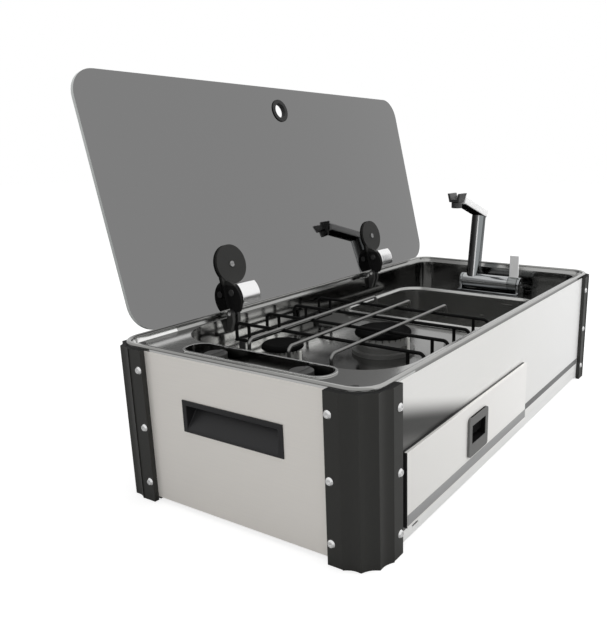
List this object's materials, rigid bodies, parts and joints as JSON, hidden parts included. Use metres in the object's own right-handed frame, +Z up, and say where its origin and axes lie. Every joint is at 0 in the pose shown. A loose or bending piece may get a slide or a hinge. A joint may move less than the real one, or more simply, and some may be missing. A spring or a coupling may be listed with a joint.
{
  "type": "camper sink and hob unit with glass lid",
  "caption": "Long slide-out camper kitchen box: gas hob and sink under a hinged glass lid, folding tap, recessed knobs, latched drawer and carry recesses.",
  "frame": {"origin": "centre of the flat underside of the base tray, on the ground", "axes": "+X along the box towards the sink and tap, +Y towards the lid hinges at the rear, +Z up; the drawer faces -Y"},
  "size_m": [0.8522, 0.4769, 0.5618],
  "materials": {
    "panel_grey": "brushed satin",
    "profile_black": "satin black",
    "steel": "polished",
    "black_plastic": "matt",
    "tray_steel": "satin dark",
    "tinted_glass": "polished",
    "black_enamel": "matt enamel",
    "burner_alu": "cast",
    "brass": "plain",
    "copper_pipe": "plain",
    "rubber": "matt",
    "blue_hose": "gloss",
    "ceramic": "glazed",
    "drawer_white": "satin",
    "galvanised": "satin",
    "grey_plastic": "satin"
  },
  "bodies": {
    "casing": {"front_panel": "panel_grey", "rear_panel": "panel_grey", "left_end_panel": "panel_grey", "right_end_panel": "panel_grey", "corner_profile_front_left": "profile_black", "corner_profile_front_right": "profile_black", "corner_profile_rear_left": "profile_black", "corner_profile_rear_right": "profile_black", "panel_screws": "steel", "carry_handle_left": "black_plastic", "carry_handle_right": "black_plastic", "base_tray": "galvanised", "top_tray": "tray_steel", "lid_buffers": "rubber", "sink_bowl": "tray_steel", "waste_strainer": "steel", "waste_elbow": "black_plastic", "burner_body_small": "burner_alu", "burner_crown_small": "burner_alu", "burner_cap_small": "black_enamel", "burner_body_large": "burner_alu", "burner_crown_large": "burner_alu", "burner_cap_large": "black_enamel", "igniters": "ceramic", "pan_support_wires": "black_enamel", "pan_support_rods": "steel", "pan_support_feet": "rubber", "gas_valve_front": "brass", "gas_valve_rear": "brass", "gas_rail": "copper_pipe", "hinge_bracket_left": "galvanised", "hinge_bracket_right": "galvanised", "hinge_pins": "steel", "tap_base": "steel", "tap_shank": "brass", "water_pipe": "blue_hose", "drawer_runners": "galvanised"},
    "lid": {"glass_lid": "tinted_glass", "lid_grommet": "rubber", "hinge_arm_left": "black_plastic", "hinge_arm_right": "black_plastic", "hinge_backing_discs": "black_plastic", "hinge_disc_screws": "steel", "hinge_cover_left": "steel", "hinge_cover_right": "steel"},
    "tap": {"tap_barrel": "steel", "tap_post": "steel", "tap_arm": "steel", "tap_head": "steel", "tap_aerator": "grey_plastic"},
    "tap_lever": {"tap_lever": "steel"},
    "drawer": {"drawer_box": "galvanised", "drawer_front": "drawer_white", "latch_plate": "grey_plastic", "drawer_slides": "steel"},
    "latch": {"latch_paddle": "black_plastic"},
    "knob_front": {"control_knob_front": "black_plastic"},
    "knob_rear": {"control_knob_rear": "black_plastic"}
  },
  "joints": [
    {"name": "lid_hinge", "type": "hinge", "parent": "casing", "child": "lid", "pos_m": [0, 0.177, 0.216], "axis": [1, 0, 0], "range_deg": [0, 103]},
    {"name": "tap_fold", "type": "hinge", "parent": "casing", "child": "tap", "pos_m": [0.362, 0.038, 0.184], "axis": [0, -1, 0], "range_deg": [0, 94]},
    {"name": "tap_lever_turn", "type": "hinge", "parent": "tap", "child": "tap_lever", "pos_m": [0.362, -0.056, 0.184], "axis": [0, 1, 0], "range_deg": [0, 25]},
    {"name": "drawer_slide", "type": "slide", "parent": "casing", "child": "drawer", "axis": [0, -1, 0], "range_m": [0, 0.26]},
    {"name": "latch_pull", "type": "hinge", "parent": "drawer", "child": "latch", "pos_m": [-0.1575, -0.204, 0.093], "axis": [-1, 0, 0], "range_deg": [0, 28], "stiffness_Nm_per_rad": 0.02},
    {"name": "knob_front_turn", "type": "hinge", "parent": "casing", "child": "knob_front", "pos_m": [-0.366, -0.07, 0.2], "axis": [0, 0, 1], "range_deg": [0, 180]},
    {"name": "knob_rear_turn", "type": "hinge", "parent": "casing", "child": "knob_rear", "pos_m": [-0.366, 0.07, 0.2], "axis": [0, 0, 1], "range_deg": [0, 180]}
  ],
  "couplings": [
    {"joint": "tap_fold", "follows": "lid_hinge", "ratio": 0.91262}
  ]
}
